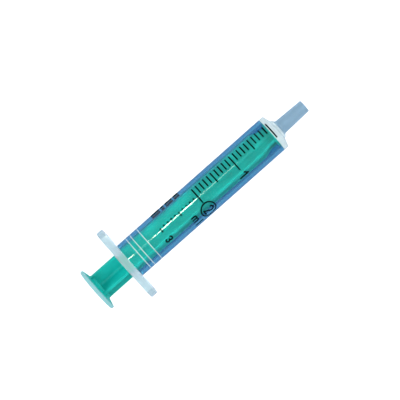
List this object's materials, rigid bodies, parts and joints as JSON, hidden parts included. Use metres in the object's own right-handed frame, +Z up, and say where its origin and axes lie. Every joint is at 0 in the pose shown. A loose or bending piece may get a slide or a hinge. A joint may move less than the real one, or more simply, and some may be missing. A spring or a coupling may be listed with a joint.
{
  "type": "oral syringe",
  "caption": "Small two-piece syringe: clear barrel with slip tip and finger wings, green cross-rib plunger that slides in it, and a printed millilitre scale.",
  "frame": {"origin": "middle of the syringe's length and width, on the surface that it lies on", "axes": "+X along the barrel axis towards the tip, +Y along one finger wing, +Z up, the side that the scale is printed on; the axis is 7 mm above the surface"},
  "size_m": [0.0812, 0.0244, 0.014],
  "materials": {
    "clear_plastic": "clear moulded polypropylene with a faint blue tint, smooth and glossy on the barrel and finer matt on the tip and wings",
    "green_plastic": "moulded polyethylene, blue-green, slightly translucent, soft gloss",
    "scale_ink": "black printing ink film"
  },
  "bodies": {
    "barrel": {"barrel": "clear_plastic", "scale_tenth_lines": "scale_ink", "scale_half_lines": "scale_ink", "scale_full_lines": "scale_ink", "scale_upper_lines": "scale_ink", "scale_upper_dots": "scale_ink", "side_print_bars": "scale_ink", "numeral_one": "scale_ink", "numeral_two": "scale_ink", "numeral_three": "scale_ink", "capacity_ring": "scale_ink", "unit_letters": "scale_ink"},
    "plunger": {"plunger": "green_plastic"}
  },
  "joints": [
    {"name": "plunger_slide", "type": "slide", "parent": "barrel", "child": "plunger", "axis": [-1, 0, 0], "range_m": [0, 0.0465]}
  ]
}
